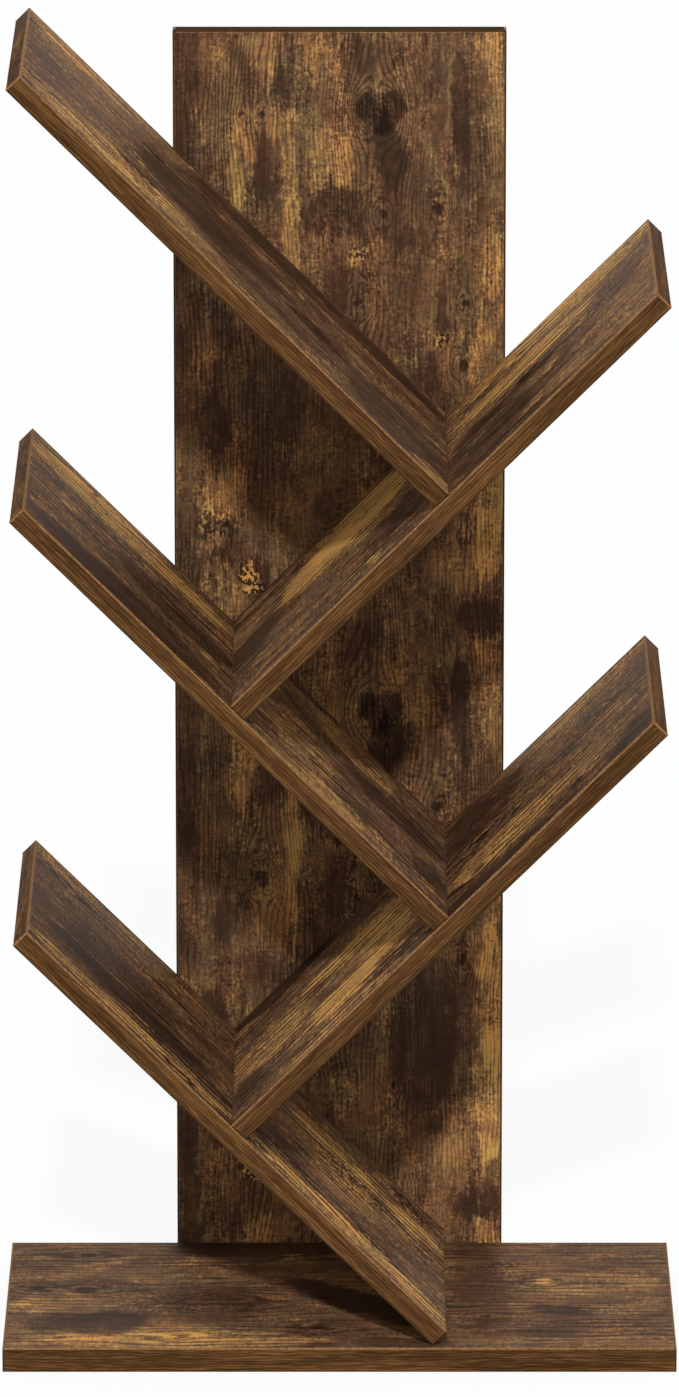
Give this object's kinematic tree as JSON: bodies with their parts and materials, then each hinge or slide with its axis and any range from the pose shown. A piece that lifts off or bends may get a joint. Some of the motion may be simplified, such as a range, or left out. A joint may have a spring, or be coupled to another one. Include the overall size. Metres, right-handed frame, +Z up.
{
  "type": "tree shaped bookshelf",
  "caption": "Small free-standing bookshelf: slanted boards zigzag up the front of a trunk panel on a flat base, and books lie in the angles between them.",
  "frame": {"origin": "on the floor, under the middle of the whole shelf's box", "axes": "+Z up along the trunk, +Y from the front of the base to the back of the trunk, +X to the right as seen from the front"},
  "size_m": [0.4, 0.212, 0.7841],
  "materials": {
    "rustic_board": "particle board with a dark rustic brown wood decor, satin",
    "rustic_band": "wood grain plastic edge band, satin",
    "zinc_steel": "bright zinc plated screw",
    "beech_dowel": "raw turned beech"
  },
  "bodies": {
    "root": {"base_board": "rustic_board", "trunk_panel": "rustic_board", "branch_1_left_board": "rustic_board", "branch_2_right_board": "rustic_board", "branch_3_left_board": "rustic_board", "branch_4_right_board": "rustic_board", "branch_5_left_board": "rustic_board", "base_band_front": "rustic_band", "base_band_back": "rustic_band", "base_band_left": "rustic_band", "base_band_right": "rustic_band", "trunk_band_top": "rustic_band", "trunk_band_left": "rustic_band", "trunk_band_right": "rustic_band", "branch_1_left_band_root": "rustic_band", "branch_1_left_band_tip": "rustic_band", "branch_1_left_band_front": "rustic_band", "branch_1_left_band_back": "rustic_band", "branch_2_right_band_root": "rustic_band", "branch_2_right_band_tip": "rustic_band", "branch_2_right_band_front": "rustic_band", "branch_2_right_band_back": "rustic_band", "branch_3_left_band_root": "rustic_band", "branch_3_left_band_tip": "rustic_band", "branch_3_left_band_front": "rustic_band", "branch_3_left_band_back": "rustic_band", "branch_4_right_band_root": "rustic_band", "branch_4_right_band_tip": "rustic_band", "branch_4_right_band_front": "rustic_band", "branch_4_right_band_back": "rustic_band", "branch_5_left_band_root": "rustic_band", "branch_5_left_band_tip": "rustic_band", "branch_5_left_band_front": "rustic_band", "branch_5_left_band_back": "rustic_band", "base_screw_left": "zinc_steel", "base_screw_middle": "zinc_steel", "base_screw_right": "zinc_steel", "branch_1_left_screw_root": "zinc_steel", "branch_1_left_screw_side": "zinc_steel", "joint_1_screw_front": "zinc_steel", "joint_1_screw_back": "zinc_steel", "branch_2_right_screw_root": "zinc_steel", "branch_2_right_screw_side": "zinc_steel", "joint_2_screw_front": "zinc_steel", "joint_2_screw_back": "zinc_steel", "branch_3_left_screw_root": "zinc_steel", "branch_3_left_screw_side": "zinc_steel", "joint_3_screw_front": "zinc_steel", "joint_3_screw_back": "zinc_steel", "branch_4_right_screw_root": "zinc_steel", "branch_4_right_screw_side": "zinc_steel", "joint_4_screw_front": "zinc_steel", "joint_4_screw_back": "zinc_steel", "branch_5_left_screw_root": "zinc_steel", "branch_5_left_screw_side": "zinc_steel", "joint_1_dowel": "beech_dowel", "joint_2_dowel": "beech_dowel", "joint_3_dowel": "beech_dowel", "joint_4_dowel": "beech_dowel"}
  },
  "joints": []
}
